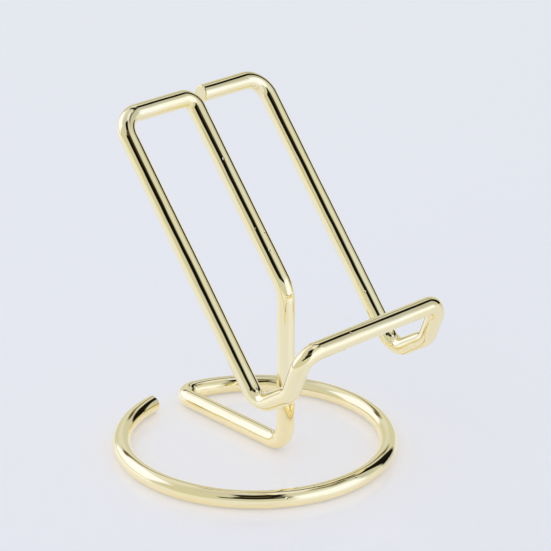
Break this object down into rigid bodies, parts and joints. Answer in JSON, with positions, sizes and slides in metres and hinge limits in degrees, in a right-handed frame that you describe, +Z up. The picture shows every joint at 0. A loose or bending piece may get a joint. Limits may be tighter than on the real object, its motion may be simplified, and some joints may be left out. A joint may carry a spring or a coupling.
{
  "type": "table number holder",
  "caption": "Free-standing table number holder bent from one polished gold-plated round wire: ring base, upright stem, reclined three-rod back and a hooked ledge with a front rail.",
  "frame": {"origin": "centre of the base ring, on the table surface that the ring rests on", "axes": "+Z up; +X to the right of the holder as the reader faces it; -Y towards the reader, so the back leans away towards +Y"},
  "size_m": [0.078, 0.0815, 0.096],
  "materials": {
    "gold_plated_wire": "mirror-polished pale champagne-gold electroplate on steel wire"
  },
  "bodies": {
    "root": {"base_ring": "gold_plated_wire", "base_arm": "gold_plated_wire", "stem": "gold_plated_wire", "centre_rod": "gold_plated_wire", "top_left_bar": "gold_plated_wire", "left_rod": "gold_plated_wire", "left_ledge": "gold_plated_wire", "left_lip": "gold_plated_wire", "front_rail": "gold_plated_wire", "right_lip": "gold_plated_wire", "right_ledge": "gold_plated_wire", "right_rod": "gold_plated_wire", "top_right_bar": "gold_plated_wire"}
  },
  "joints": []
}
